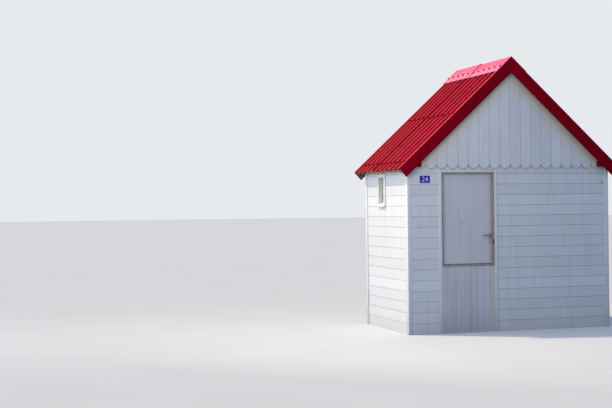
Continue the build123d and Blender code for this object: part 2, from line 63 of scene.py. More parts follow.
# Each wall, the axis and the side that it faces, and where its nails stand along it.
WALLS = {
    "left_wall": (X, -1, (-0.755, -0.0225, 0.3325, 0.755)),
    "right_wall": (X, 1, (-0.755, 0.0, 0.755)),
    "back_wall": (Y, 1, (-1.462, -0.479, 0.479, 1.462)),
    "front_wall_left": (Y, -1, (-1.462, -1.096)),
    "front_wall_right": (Y, -1, (-0.187, 0.606, 1.462)),
    "front_wall_over_door": (Y, -1, ()),
}
NAILED_BOARDS = range(1, 15)  # wall boards that carry nails, counted from the ground
NAIL_SHARES = (0.22, 0.78)  # heights of the two nails in a wall board, as shares of it
GABLES = {"gable_boards_front": -1, "gable_boards_back": 1}
GABLE_BOARDS = range(-8, 8)  # counted from the middle of the gable
GABLE_NAILS = 0.042  # from the middle of a gable board out to its nails
FOOT_NAILS = 2.41  # height of the nails in the feet of the gable boards
HEAD_NAILS = 0.36  # how far under the ridge's slope the upper nails lie
LEAST_HEAD = 2.52  # no upper nails below this height
PANEL_JOINTS = (-0.961, -0.835, -0.700, -0.609, -0.518, -0.411, -0.329)  # uneven, along X
PANEL_GAP = 0.006
LEAF_JOINTS = range(1, 6)
VIEWER = (-0.714, 1.515)  # X and Z of its middle
KEYHOLE_RISE = 0.055  # above the foot of the lever plates
EYE_PLATE = (1.440, 2.061)  # X and Z of its middle
FIRST_CREST, LAST_CREST = -5, 5  # counted from the middle of the roof
DOOR_DIRT = (0.30, 0.31, 0.34)
RUST = (0.09, 0.035, 0.015)

CAMERA_PLACE = (-7.4266, -15.8407, 1.7662)
CAMERA_TURN = ((-16.541, "Z"), (90.110, "X"), (-0.665, "Z"))  # degrees
FOCAL_PIXELS, IMAGE_WIDTH, SENSOR_WIDTH = 1180.66, 612, 36
KEY_FROM = (-0.535, 0.32, 0.78)
KEY_TINT = (1.0, 0.82, 0.56)
THROWN_BACK = (0.14, 0.19, 0.30)  # colour of the floor for all but the camera
# Each soft panel: its name, place and aim, its size, its spread in degrees, and its tint.
PANELS = (
    ("front_lamp", (-3.6, -3.8, 3.4), (-0.9, -0.9, 2.6), 2.4, 180, (1.0, 0.91, 0.80)),
    ("side_lamp", (-13.0, 0.6, 3.6), (-1.5, 0.0, 2.1), 5.0, 50, (0.94, 0.97, 0.93)),
)

BARGEBOARD = [v.co.copy() for v in frame["nodes"]["bargeboard_front_right"].data.vertices]
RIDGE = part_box("bargeboard_front_right")[1].z
BARGE_FOOT = max(BARGEBOARD, key=lambda co: co.x)
PITCH = math.atan2(RIDGE - BARGE_FOOT.z, BARGE_FOOT.x)


def under_ridge(x, z):
    """How far a point lies under the roof's slope, square to it."""
    return (RIDGE - z) * math.cos(PITCH) - abs(x) * math.sin(PITCH)


BARGE_DEPTH = max(under_ridge(co.x, co.z) for co in BARGEBOARD)


# Sizes and colours


def length(name, description, default):
    """A size in metres."""
    return FloatProperty(
        name=name, description=description, default=default, min=0, unit="LENGTH", precision=4
    )


def colour(name, description, *default):
    """A colour."""
    return FloatVectorProperty(
        name=name, description=description, default=default, size=3, min=0, max=1, subtype="COLOR"
    )


def strength(name, description, default):
    """Strength of a light."""
    return FloatProperty(name=name, description=description, default=default, min=0)


class BoardSizes(bpy.types.PropertyGroup):
    """Sizes of the boards and of the joints between them."""

    wall_board: length("Wall board", "Height of one wall board", 0.146)
    wall_gap: length("Wall joint", "Height of the gap under each wall board", 0.004)
    filled_gap: length("Filled joint", "Height of the gaps left of the door, filled with paint", 0.0024)
    gable_board: length("Gable board", "Width of one gable board", 0.1585)
    gable_gap: length("Gable joint", "Width of the wider grooves between gable boards", 0.0042)
    tight_gap: length("Tight gable joint", "Width of the tighter grooves between gable boards", 0.0028)
    floor_board: length("Floor board", "Width of one floor board", 0.12)
    leaf_board: length("Leaf board", "Width of one board of the door leaf", 0.126)
    joint_depth: length("Joint depth", "Depth of the wall joints", 0.007)
    arris: length("Arris", "Width of the rounding along timber edges", 0.003)


class FastenerSizes(bpy.types.PropertyGroup):
    """Sizes of nails, screws and roof bolts."""

    nail: length("Nail head", "Radius of a nail head", 0.0035)
    screw: length("Screw head", "Radius of a screw head", 0.0038)
    bolt: length("Roof bolt", "Radius of the cap over a roof bolt", 0.019)
    cap_row: length("Cap row", "Slope distance from the ridge to the bolts of the ridge caps", 0.190)
    middle_row: length("Middle row", "Slope distance from the ridge to the bolts in the purlins", 1.166)
    eave_row: length("Eave row", "Slope distance from the ridge to the bolts in the wall plates", 2.150)
    wave: length("Wave", "Pitch of the corrugations", 0.177)


class HutColours(bpy.types.PropertyGroup):
    """Colours of the paint, timber and metal."""

    wall: colour("Wall paint", "White paint of the walls and gables", 0.81, 0.82, 0.84)
    # Reveal colour: partly the reveal's own cream paint, partly painted bounce light that lightens its
    # shaded faces.
    reveal: colour("Reveal paint", "Cream paint in the window's reveal", 0.90, 0.83, 0.74)
    dirt: colour("Dirt", "Dust and algae on the pale paint", 0.40, 0.38, 0.31)
    trim: colour("Trim paint", "Dark red paint of bargeboards and plates", 0.30, 0.001, 0.012)
    roof: colour("Roof paint", "Red paint of the sheets and caps", 0.36, 0.001, 0.012)
    # Faded red, also used for painted highlight lines on the crests and painted sheen on the caps and
    # verges.
    bleached: colour("Bleached paint", "Red paint where the sun has faded it", 0.86, 0.08, 0.225)
    # Dark valley colour: partly grime, partly painted shade.
    valley: colour("Valley grime and painted shade", "Dark film in the valleys of the sheets", 0.06, 0.001, 0.005)
    leaf: colour("Door paint", "Pale grey blue paint of the door", 0.70, 0.695, 0.72)
    frame: colour("Frame timber", "Weathered bare timber round the door", 0.52, 0.46, 0.41)
    strip: colour("Strip paint", "Warm white paint beside the panel under the door", 0.68, 0.66, 0.63)
    # Pale tan of bare timber out of the rain, lifted further as painted bounce light where it lies in
    # shade.
    frieze: colour("Sheltered timber", "Bare timber that no rain reaches", 1.0, 0.88, 0.52)
    timber: colour("Inner timber", "Sawn timber inside", 0.55, 0.40, 0.24)
    stain: colour("Stain", "Brown stain behind the bargeboards", 0.25, 0.12, 0.05)
    iron: colour("Iron", "Dark iron of the viewer and worn plates", 0.035, 0.035, 0.04)
    lever: colour("Lever", "Lever's iron under thin paint", 0.20, 0.20, 0.215)
    zinc: colour("Zinc", "Zinc of hinges and screws", 0.45, 0.45, 0.46)
    brass: colour("Brass", "Dull brass of the keep", 0.40, 0.36, 0.26)
    enamel: colour("Enamel", "Blue ground of the number plate", 0.003, 0.004, 0.36)
    digits: colour("Digits", "White of the number", 0.66, 0.69, 0.79)


class NumberText(bpy.types.PropertyGroup):
    """The house number."""

    number: StringProperty(name="Number", description="House number on the plate", default="24")
    height: length("Height", "Font size of the number", 0.098)


class StageSettings(bpy.types.PropertyGroup):
    """Floor, backdrop and lamps."""

    floor: colour("Floor", "Pale floor", 0.65, 0.675, 0.705)
    backdrop: colour("Backdrop", "Pale backdrop", 0.80, 0.82, 0.84)
    fill: colour("Fill", "Tint of the soft light from all round", 0.61, 0.75, 1.0)
    fill_strength: strength("Fill strength", "Strength of the soft light", 0.63)
    key_strength: strength("Key strength", "Strength of the lamp high at the left", 2.6)
    front_strength: strength("Front lamp", "Power of the soft lamp near the front", 53)
    side_strength: strength("Side lamp", "Power of the soft lamp at the left", 64)


# Modelling


def select_only(*pieces):
    """Selects these pieces alone and makes the first of them active."""
    bpy.ops.object.select_all(action="DESELECT")
    for piece in pieces:
        piece.select_set(True)
    bpy.context.view_layer.objects.active = pieces[0]


def settled():
    """Puts the active piece's place, turn and size into its mesh and returns it."""
    bpy.ops.object.transform_apply(location=True, rotation=True, scale=True)
    return bpy.context.active_object


@contextmanager
def editing(piece, kind="FACE"):
    """Opens one piece in edit mode with nothing selected, and closes it again."""
    select_only(piece)
    bpy.ops.object.mode_set(mode="EDIT")
    bpy.ops.mesh.select_mode(type=kind)
    bpy.ops.mesh.select_all(action="DESELECT")
    yield
    bpy.ops.object.mode_set(mode="OBJECT")


def pick(piece, kind, test):
    """Selects the vertices, edges or faces of the open piece that pass a test."""
    mesh = bmesh.from_edit_mesh(piece.data)
    for item in getattr(mesh, kind):
        item.select_set(bool(test(item)))
    mesh.select_flush_mode()
    bmesh.update_edit_mesh(piece.data)


def bar(low, high):
    """Adds a squared bar between two corners."""
    low, high = Vector(low), Vector(high)
    bpy.ops.mesh.primitive_cube_add(size=1, location=(low + high) / 2)
    bpy.context.active_object.scale = high - low
    return settled()


def rod(sides, radius, depth, middle, rotation=(0, 0, 0)):
    """Adds a round rod about its middle."""
    bpy.ops.mesh.primitive_cylinder_add(
        vertices=sides, radius=radius, depth=depth, location=middle, rotation=rotation
    )
    return settled()


def extent(piece):
    """Lowest and highest corner of a piece."""
    points = [v.co for v in piece.data.vertices]
    return [Vector([end(p[axis] for p in points) for axis in (X, Y, Z)]) for end in (min, max)]


def whole_copy(node):
    """Copies a CAD node as a piece whose flat faces are whole."""
    piece = bpy.data.objects.new(node, frame["nodes"][node].data.copy())
    bpy.context.collection.objects.link(piece)
    with editing(piece, "VERT"):
        bpy.ops.mesh.select_all(action="SELECT")
        bpy.ops.mesh.remove_doubles(threshold=0.00002)
        bpy.ops.mesh.dissolve_limited(angle_limit=math.radians(1))
    bpy.ops.mesh.customdata_custom_splitnormals_clear()
    return piece


def apply_modifier(piece, kind, **settings):
    """Adds one modifier to a piece and applies it."""
    select_only(piece)
    modifier = piece.modifiers.new(kind.title(), kind)
    for name, value in settings.items():
        setattr(modifier, name, value)
    bpy.ops.object.modifier_apply(modifier=modifier.name)


def ease_edges(piece, width, segments=2):
    """Rounds the sharp edges of a piece."""
    sharp = math.radians(34)
    apply_modifier(
        piece, "BEVEL", width=width, segments=segments, limit_method="ANGLE", angle_limit=sharp
    )


def cut_away(piece, cutter):
    """Cuts the cutter's shape out of a piece."""
    faces = len(piece.data.polygons)
    apply_modifier(piece, "BOOLEAN", operation="DIFFERENCE", solver="EXACT", object=cutter)
    bpy.data.objects.remove(cutter)
    if len(piece.data.polygons) <= faces:
        raise RuntimeError(f"nothing was cut out of {piece.name}")


def repeat(pattern, places):
    """Copies a pattern to each place, joins the copies and removes the pattern."""
    copies = []
    for place in places:
        piece = pattern.copy()
        piece.data = pattern.data.copy()
        piece.matrix_world = place
        bpy.context.collection.objects.link(piece)
        copies.append(piece)
    bpy.data.objects.remove(pattern)
    select_only(*copies)
    if len(copies) > 1:
        bpy.ops.object.join()
    return settled()


def cut_joints(piece, step, deep, side, places, gap, depth, point=0.5):
    """Cuts wedge-shaped joints, at the places along one axis, into the face that looks along another."""
    low, high = extent(piece)
    along = X + Y + Z - step - deep
    face = high[deep] if side > 0 else low[deep]
    inner, outer = face - side * depth, face + side * PAST
    start, end = low.copy(), high.copy()
    start[along] -= PAST
    end[along] += PAST
    start[step], end[step] = -gap * point, gap * (1 - point)
    start[deep], end[deep] = min(inner, outer), max(inner, outer)
    wedge = bar(start, end)
    with editing(wedge, "VERT"):
        pick(wedge, "verts", lambda v: abs(v.co[deep] - inner) < PAST / 2)
        squeeze = [float(axis != step) for axis in (X, Y, Z)]
        bpy.ops.transform.resize(value=squeeze, center_override=(0, 0, 0))
        bpy.ops.mesh.select_all(action="SELECT")
        bpy.ops.mesh.remove_doubles()
    way = Vector([float(axis == step) for axis in (X, Y, Z)])
    cut_away(piece, repeat(wedge, [Matrix.Translation(way * place) for place in places]))


def steps_between(low, high, board):
    """Places of the joints between boards that start at zero."""
    first, last = math.ceil((low + PAST) / board), math.floor((high - PAST) / board)
    return [board * count for count in range(first, last + 1)]


def facing(way):
    """Turn that points a fastener's head or a lamp's back along a way."""
    return Vector(way).to_track_quat("Z", "Y").to_matrix().to_4x4()


def seated(place, way):
    """Place and turn of a fastener whose head faces a way."""
    return Matrix.Translation(place) @ facing(way)


def dome_head(radius, height, sides):
    """Adds a low domed head that stands on the origin."""
    head = rod(sides, radius, height, (0, 0, height / 2))
    with editing(head):
        pick(head, "faces", lambda f: f.normal.z > 0.9)
        for rise in (0.45, 0.2):
            bpy.ops.mesh.inset(thickness=radius * 0.35)
            bpy.ops.transform.translate(value=(0, 0, height * rise))
    return head


def bolt_cap(radius):
    """Adds a washer with a domed cap over its bolt."""
    cap = rod(14, radius, radius * 0.3, (0, 0, radius * 0.15))
    with editing(cap):
        pick(cap, "faces", lambda f: f.normal.z > 0.9)
        bpy.ops.mesh.inset(thickness=radius * 0.25)
        bpy.ops.mesh.extrude_region_move(TRANSFORM_OT_translate={"value": (0, 0, radius * 0.35)})
        bpy.ops.mesh.inset(thickness=radius * 0.22)
        bpy.ops.transform.translate(value=(0, 0, radius * 0.18))
    return cap


def screw_head(radius):
    """Adds a raised screw head with a slot."""
    head = dome_head(radius, radius * 0.4, 16)
    cut_away(head, bar((-radius, -radius * 0.13, radius * 0.35), (radius, radius * 0.13, radius)))
    return head


def finish_piece(piece, name, body, slot, material, *nodes):
    """Names a piece, gives it its finish, and hangs it on its body in place of its CAD nodes."""
    piece.name = piece.data.name = name
    select_only(piece)
    bpy.ops.object.shade_smooth_by_angle(angle=SMOOTH_BELOW)
    piece.data.materials.clear()
    piece.data.materials.append(finish(material))
    if nodes:
        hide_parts(*nodes)
    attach(piece, body)


def dress(node, ending, slot, material, arris=0.0, segments=2):
    """Copies a CAD node of the hut, rounds its edges and finishes the copy in its place."""
    piece = whole_copy(node)
    if arris:
        ease_edges(piece, arris, segments)
    finish_piece(piece, node + ending, "hut", slot, material, node)
    return piece


def repaint(piece, material, test):
    """Gives the faces of a piece that pass a test a finish of their own."""
    piece.data.materials.append(finish(material))
    with editing(piece):
        pick(piece, "faces", test)
        piece.active_material_index = len(piece.data.materials) - 1
        bpy.ops.object.material_slot_assign()


def paint_nodes(material, *nodes):
    """Gives CAD nodes whose shape is right their finish."""
    for node in nodes:
        mesh = frame["nodes"][node].data
        mesh.materials.clear()
        mesh.materials.append(finish(material))


# Materials


class Graph:
    """A node tree, with short calls for the nodes that the finishes are made of."""

    COLUMNS, ACROSS, DOWN = 12, 200, 260  # how the nodes are laid out

    def __init__(self, tree):
        self.tree = tree
        self.count = 0

    def add(self, kind, settings=None, **inputs):
        """Adds a node, with its own settings and its inputs, which are values or sockets."""
        node = self.tree.nodes.new(kind)
        row, column = divmod(self.count, self.COLUMNS)
        node.location = (self.ACROSS * column, -self.DOWN * row)
        self.count += 1
        for name, value in (settings or {}).items():
            setattr(node, name, value)
        for name, value in inputs.items():
            self.feed(node.inputs[name.replace("_", " ")], value)
        return node

    def feed(self, socket, value):
        """Links a socket, or sets its value."""
        if isinstance(value, bpy.types.NodeSocket):
            self.tree.links.new(value, socket)
        elif socket.type == "RGBA" and len(value) == 3:
            socket.default_value = (*value, 1)
        else:
            socket.default_value = value

    def feed_all(self, sockets, values):
        """Feeds sockets in their order."""
        for socket, value in zip(sockets, values):
            self.feed(socket, value)

    def math(self, operation, *terms):
        """One sum of up to three terms."""
        node = self.add("ShaderNodeMath", {"operation": operation})
        self.feed_all(node.inputs, terms)
        return node.outputs[0]

    def vector(self, operation, *terms):
        """One vector sum."""
        node = self.add("ShaderNodeVectorMath", {"operation": operation})
        self.feed_all(node.inputs, terms)
        return node.outputs["Value" if operation in ("DOT_PRODUCT", "DISTANCE") else "Vector"]

    def mix(self, share, first, second):
        """Blend of two colours."""
        node = self.add("ShaderNodeMix", {"data_type": "RGBA"})
        self.feed_all((node.inputs[0], node.inputs[6], node.inputs[7]), (share, first, second))
        return node.outputs[2]

    def spread(self, value, low, high, to_low=0.0, to_high=1.0):
        """Maps a range of values to another, with its ends held."""
        node = self.add("ShaderNodeMapRange", {"clamp": True, "interpolation_type": "SMOOTHSTEP"})
        self.feed_all(node.inputs, (value, low, high, to_low, to_high))
        return node.outputs[0]

    def noise(self, place, scale, detail=3.0):
        """Cloudy noise."""
        return self.add("ShaderNodeTexNoise", Vector=place, Scale=scale, Detail=detail).outputs["Fac"]

    def parts(self, place):
        """X, Y and Z of a place."""
        return self.add("ShaderNodeSeparateXYZ", Vector=place).outputs

    def group(self, make, **inputs):
        """Places a shared group, which is made when it is first asked for."""
        name = make.__name__.replace("_", " ").capitalize()
        tree = bpy.data.node_groups.get(name) or make(name)
        return self.add("ShaderNodeGroup", {"node_tree": tree}, **inputs).outputs


def new_group(name, inputs, outputs):
    """Starts a shared group and returns its graph, its inputs and its outputs."""
    tree = bpy.data.node_groups.new(name, "ShaderNodeTree")
    for in_out, sockets in (("INPUT", inputs), ("OUTPUT", outputs)):
        for label, kind in sockets.items():
            tree.interface.new_socket(name=label, in_out=in_out, socket_type="NodeSocket" + kind)
    graph = Graph(tree)
    return graph, graph.add("NodeGroupInput").outputs, graph.add("NodeGroupOutput").inputs


def board_tone(name):
    """Group: a random tone for each board, and a mask along the joints between them."""
    graph, given, out = new_group(
        name, {"Place": "Vector", "Across": "Vector", "Board": "Float"}, {"Tone": "Float", "Joint": "Float"}
    )
    along = graph.vector("DOT_PRODUCT", given["Place"], given["Across"])
    count = graph.math("DIVIDE", along, given["Board"])
    random = graph.add("ShaderNodeTexWhiteNoise", {"noise_dimensions": "1D"}, W=graph.math("FLOOR", count))
    graph.feed(out["Tone"], random.outputs["Value"])
    graph.feed(out["Joint"], graph.spread(graph.math("PINGPONG", count, 0.5), 0.015, 0.075, 1.0, 0.0))
    return graph.tree


def wood_grain(name):
    """Group: fine grain, long along a board and short across it."""
    graph, given, out = new_group(
        name, {"Place": "Vector", "Stretch": "Vector"}, {"Grain": "Float", "Figure": "Float"}
    )
    stretched = graph.vector("MULTIPLY", given["Place"], given["Stretch"])
    graph.feed(out["Grain"], graph.noise(stretched, 9.0, 5.0))
    bent = graph.vector("ADD", stretched, graph.vector("MULTIPLY", given["Place"], (2.0, 2.0, 2.0)))
    graph.feed(out["Figure"], graph.noise(bent, 1.6, 2.0))
    return graph.tree


def weather_marks(name):
    """Group: patches, and streaks that run down, as rain leaves them."""
    graph, given, out = new_group(
        name,
        {"Place": "Vector", "Low": "Float", "High": "Float"},
        {"Patches": "Float", "Streaks": "Float", "Foot": "Float"},
    )
    place = given["Place"]
    graph.feed(out["Patches"], graph.spread(graph.noise(place, 2.3, 6.0), 0.42, 0.72))
    stretched = graph.vector("MULTIPLY", place, (16.0, 16.0, 1.1))
    graph.feed(out["Streaks"], graph.spread(graph.noise(stretched, 1.0, 4.0), 0.5, 0.78))
    rough = graph.math("MULTIPLY", graph.noise(place, 5.0, 4.0), 0.35)
    ragged = graph.math("ADD", graph.parts(place)["Z"], rough)
    graph.feed(out["Foot"], graph.spread(ragged, given["Low"], given["High"], 1.0, 0.0))
    return graph.tree


def new_material(name):
    """Starts a material and returns its graph, its shader and the object's coordinates."""
    material = bpy.data.materials.new(name)
    material.use_nodes = True
    material.node_tree.nodes.clear()
    graph = Graph(material.node_tree)
    shader = graph.add("ShaderNodeBsdfPrincipled")
    surface = graph.add("ShaderNodeOutputMaterial", Surface=shader.outputs[0])
    surface.location = (400, 300)
    return material, graph, shader, graph.add("ShaderNodeTexCoord").outputs["Object"]


def surface(graph, shader, base, rough, height, strength, distance, shine=None):
    """Feeds the shader its colour, roughness and bumps, and sets its shine."""
    bump = graph.add("ShaderNodeBump", Height=height, Strength=strength, Distance=distance)
    for label, value in (("Base Color", base), ("Roughness", rough), ("Normal", bump.outputs["Normal"])):
        graph.feed(shader.inputs[label], value)
    if shine is not None:
        shader.inputs["Specular IOR Level"].default_value = shine


def shade(tint, share):
    """A darker colour."""
    return [channel * share for channel in tint]


def under_slope(graph, place):
    """Mask of the strip of gable just under the bargeboards, where the painted warm shade goes."""
    parts = graph.parts(place)
    down = graph.math("MULTIPLY", graph.math("SUBTRACT", RIDGE, parts["Z"]), math.cos(PITCH))
    across = graph.math("MULTIPLY", graph.math("ABSOLUTE", parts["X"]), math.sin(PITCH))
    under = graph.math("SUBTRACT", down, across)
    ragged = graph.math("MULTIPLY_ADD", graph.noise(place, 7.0, 4.0), -0.12, under)
    return graph.spread(ragged, BARGE_DEPTH - 0.06, BARGE_DEPTH + 0.16, 1.0, 0.0)


def timber_masks(graph, place, stretch, across, board, low, high):
    """Board tones, grain, and marks of weather, with a darkening towards the foot that fades out between
    two heights.
    """
    tone = graph.group(board_tone, Place=place, Across=across, Board=board)
    grain = graph.group(wood_grain, Place=place, Stretch=stretch)
    return tone, grain, graph.group(weather_marks, Place=place, Low=low, High=high)


def painted_timber(
    name, paint, dirt, stretch, across=(0, 0, 1), board=WHOLE,
    soil=0.35, gloss=0.5, joint=0.0, tones=0.55, bare=None, shine=0.3, stain=0.0,
):
    """Paint on boards: a slight tone to each board, grain, dust in the joints, rain streaks and chips, and
    where asked a painted warm shade under the bargeboards.
    """
    material, graph, shader, place = new_material(name)
    tone, grain, marks = timber_masks(graph, place, stretch, across, board, 0.15, 0.65)
    dark = shade(paint, 0.86)
    # Tan of the painted warm shade under the bargeboards.
    tan = (0.78, 0.66, 0.44)
    base = graph.mix(graph.spread(tone["Tone"], 0.0, 1.0, 0.0, tones), paint, dark)
    base = graph.mix(graph.spread(grain["Grain"], 0.45, 0.7, 0.0, 0.35), base, dark)
    for mask, share in (
        (marks["Streaks"], soil * 0.6),
        (marks["Patches"], soil * 0.28),
        (marks["Foot"], soil * 0.9),
        (tone["Joint"], joint),
    ):
        base = graph.mix(graph.math("MULTIPLY", mask, share), base, dirt)
    # stain lays tan over the strip under the bargeboards: painted warm shade, where bounce light tints
    # their shade.
    if stain:
        base = graph.mix(graph.math("MULTIPLY", under_slope(graph, place), stain), base, tan)
    chips = graph.spread(graph.noise(place, 38.0, 5.0), 0.73, 0.76)
    base = graph.mix(chips, base, bare or dirt)
    rough = graph.spread(grain["Figure"], 0.3, 0.7, gloss, gloss + 0.18)
    surface(graph, shader, base, rough, graph.math("SUBTRACT", grain["Grain"], chips), 0.25, 0.0012, shine)
    return material


def bare_timber(name, wood, stretch, across=(0, 0, 1), board=WHOLE, soil=0.3, grey=0.0):
    """Sawn or weathered timber: dark and light figure, fine grain and dust."""
    material, graph, shader, place = new_material(name)
    tone, grain, marks = timber_masks(graph, place, stretch, across, board, 0.1, 0.4)
    dark = shade(wood, 0.52)
    silver = (0.30, 0.29, 0.27)
    base = graph.mix(graph.spread(grain["Figure"], 0.35, 0.68), wood, dark)
    base = graph.mix(graph.spread(grain["Grain"], 0.42, 0.72, 0.0, 0.6), base, dark)
    base = graph.mix(graph.spread(tone["Tone"], 0.0, 1.0, 0.0, 0.28), base, dark)
    base = graph.mix(graph.math("MULTIPLY", marks["Patches"], grey), base, silver)
    base = graph.mix(graph.math("MULTIPLY", marks["Streaks"], soil), base, dark)
    rough = graph.spread(grain["Grain"], 0.3, 0.7, 0.68, 0.88)
    surface(graph, shader, base, rough, grain["Grain"], 0.45, 0.0018)
    return material


def metal(name, base, rough, tarnish, metallic=0.0, spread=0.5, hole=None, shine=0.5):
    """Metal with tarnish in patches and fine scratches, and round a hole, if it has one, a near-black patch
    that is partly oily dirt and partly painted shade of the bore.
    """
    material, graph, shader, place = new_material(name)
    cloud = graph.noise(place, 42.0, 5.0)
    scratch = graph.noise(graph.vector("MULTIPLY", place, (40.0, 40.0, 700.0)), 1.0, 2.0)
    shade = graph.mix(graph.spread(cloud, 0.62 - spread * 0.3, 0.72, 0.0, 0.85), base, tarnish)
    # Near-black patch round the hole: partly oily dirt, partly painted shade of the bore.
    if hole:
        grease_and_hole_shade = graph.spread(graph.vector("DISTANCE", place, hole), 0.018, 0.036, 0.97, 0.0)
        shade = graph.mix(grease_and_hole_shade, shade, (0.01, 0.01, 0.008))
    if metallic:
        share = graph.spread(cloud, 0.55, 0.75, metallic, metallic * 0.4)
        graph.feed(shader.inputs["Metallic"], share)
    dull = graph.spread(cloud, 0.35, 0.7, rough, min(1.0, rough + 0.3))
    height = graph.math("ADD", cloud, graph.math("MULTIPLY", scratch, 0.5))
    surface(graph, shader, shade, dull, height, 0.12, 0.0006, shine)
    return material


def enamel(name, base, chip):
    """Glossy enamel, wavy as it was fired, with small chips."""
    material, graph, shader, place = new_material(name)
    wavy = graph.noise(place, 26.0, 3.0)
    chips = graph.spread(graph.noise(place, 150.0, 3.0), 0.71, 0.74)
    tint = graph.mix(graph.spread(wavy, 0.35, 0.7, 0.0, 0.35), base, shade(base, 0.6))
    rough = graph.spread(chips, 0.0, 1.0, 0.16, 0.7)
    surface(graph, shader, graph.mix(chips, tint, chip), rough, wavy, 0.12, 0.001)
    shader.inputs["Coat Weight"].default_value = 0.25
    return material


def roof_paint(name, colours, wave):
    """Paint on the corrugated sheets: dark film in the valleys that is partly painted shade, faded crests
    that are partly painted highlight lines, streaks down the slope.
    """
    material, graph, shader, place = new_material(name)
    turn = graph.math("MULTIPLY", graph.parts(place)["Y"], 2 * math.pi / wave)
    crest = graph.math("MULTIPLY_ADD", graph.math("COSINE", turn), 0.5, 0.5)
    streak = graph.noise(graph.vector("MULTIPLY", place, (1.3, 34.0, 1.3)), 1.0, 5.0)
    cloud = graph.noise(place, 3.1, 5.0)
    speck = graph.noise(place, 60.0, 2.0)
    # Dark valley film: partly grime, partly painted shade in the valleys.
    in_valley = graph.spread(crest, 0.1, 0.92, 0.92, 0.0)
    in_patches = graph.spread(cloud, 0.3, 0.65, 0.7, 1.0)
    # Thin crest lines of faded paint, partly painted highlights; faded sets how strong they are.
    on_crest = graph.spread(crest, 0.945, 0.99)
    faded = graph.spread(cloud, 0.35, 0.7, 0.25, 0.55)
    base = graph.mix(graph.spread(streak, 0.4, 0.75, 0.0, 0.45), colours.roof, shade(colours.roof, 0.62))
    base = graph.mix(graph.math("MULTIPLY", in_valley, in_patches), base, colours.valley)
    base = graph.mix(graph.math("MULTIPLY", on_crest, faded), base, colours.bleached)
    base = graph.mix(graph.spread(speck, 0.66, 0.72, 0.0, 0.5), base, (0.16, 0.02, 0.015))
    rough = graph.spread(streak, 0.3, 0.75, 0.24, 0.36)
    height = graph.math("ADD", cloud, graph.math("MULTIPLY", speck, 0.1))
    surface(graph, shader, base, rough, height, 0.10, 0.0015, 0.03)
    return material


def cap_paint(name, colours):
    """Paint on the flat wings of the ridge caps: faded pink that is partly a painted reflection of the
    bright sky, with a paler apron as a painted highlight, and still glossy.
    """
    material, graph, shader, place = new_material(name)
    cloud = graph.noise(place, 2.4, 6.0)
    streak = graph.noise(graph.vector("MULTIPLY", place, (3.0, 26.0, 3.0)), 1.0, 4.0)
    on_apron = graph.spread(graph.parts(place)["Z"], RIDGE - 0.115, RIDGE - 0.085, 0.5, 0.0)
    # Mostly faded pink, partly a painted reflection of the bright sky; the apron below is paler, a painted
    # highlight.
    base = graph.mix(graph.spread(cloud, 0.3, 0.7, 0.7, 0.95), colours.roof, colours.bleached)
    base = graph.mix(graph.spread(streak, 0.5, 0.8, 0.0, 0.35), base, colours.roof)
    base = graph.mix(on_apron, base, (0.90, 0.24, 0.42))
    rough = graph.spread(streak, 0.3, 0.75, 0.28, 0.45)
    surface(graph, shader, base, rough, graph.math("ADD", cloud, streak), 0.12, 0.002, 0.25)
    return material


def cut_edge(name, paint):
    """Cut ends of the sheets, where the paint is thin over the pale cut sheet; their colour is lifted as a
    painted highlight of the lit ends.
    """
    material, graph, shader, place = new_material(name)
    pale_cement_and_highlight = (1.0, 0.52, 0.42)
    painted = graph.spread(graph.noise(place, 18.0, 5.0), 0.5, 0.7, 0.0, 0.3)
    base = graph.mix(painted, pale_cement_and_highlight, paint)
    surface(graph, shader, base, 0.85, graph.noise(place, 160.0, 3.0), 0.4, 0.001)
    return material


def window_glass(name):
    """Old window glass with a pale film of salt in patches, which also lightens the pane as a painted
    reflection.
    """
    material, graph, shader, place = new_material(name)
    film = graph.spread(graph.noise(place, 14.0, 5.0), 0.4, 0.75)
    # Pale film, partly salt and partly painted reflection, lightens the pane.
    base = graph.mix(film, (0.93, 0.97, 0.96), (0.78, 0.82, 0.80))
    rough = graph.spread(film, 0.0, 1.0, 0.02, 0.16)
    surface(graph, shader, base, rough, graph.noise(place, 9.0, 1.0), 0.06, 0.001)
    shader.inputs["Transmission Weight"].default_value = 0.75
    shader.inputs["IOR"].default_value = 1.45
    return material


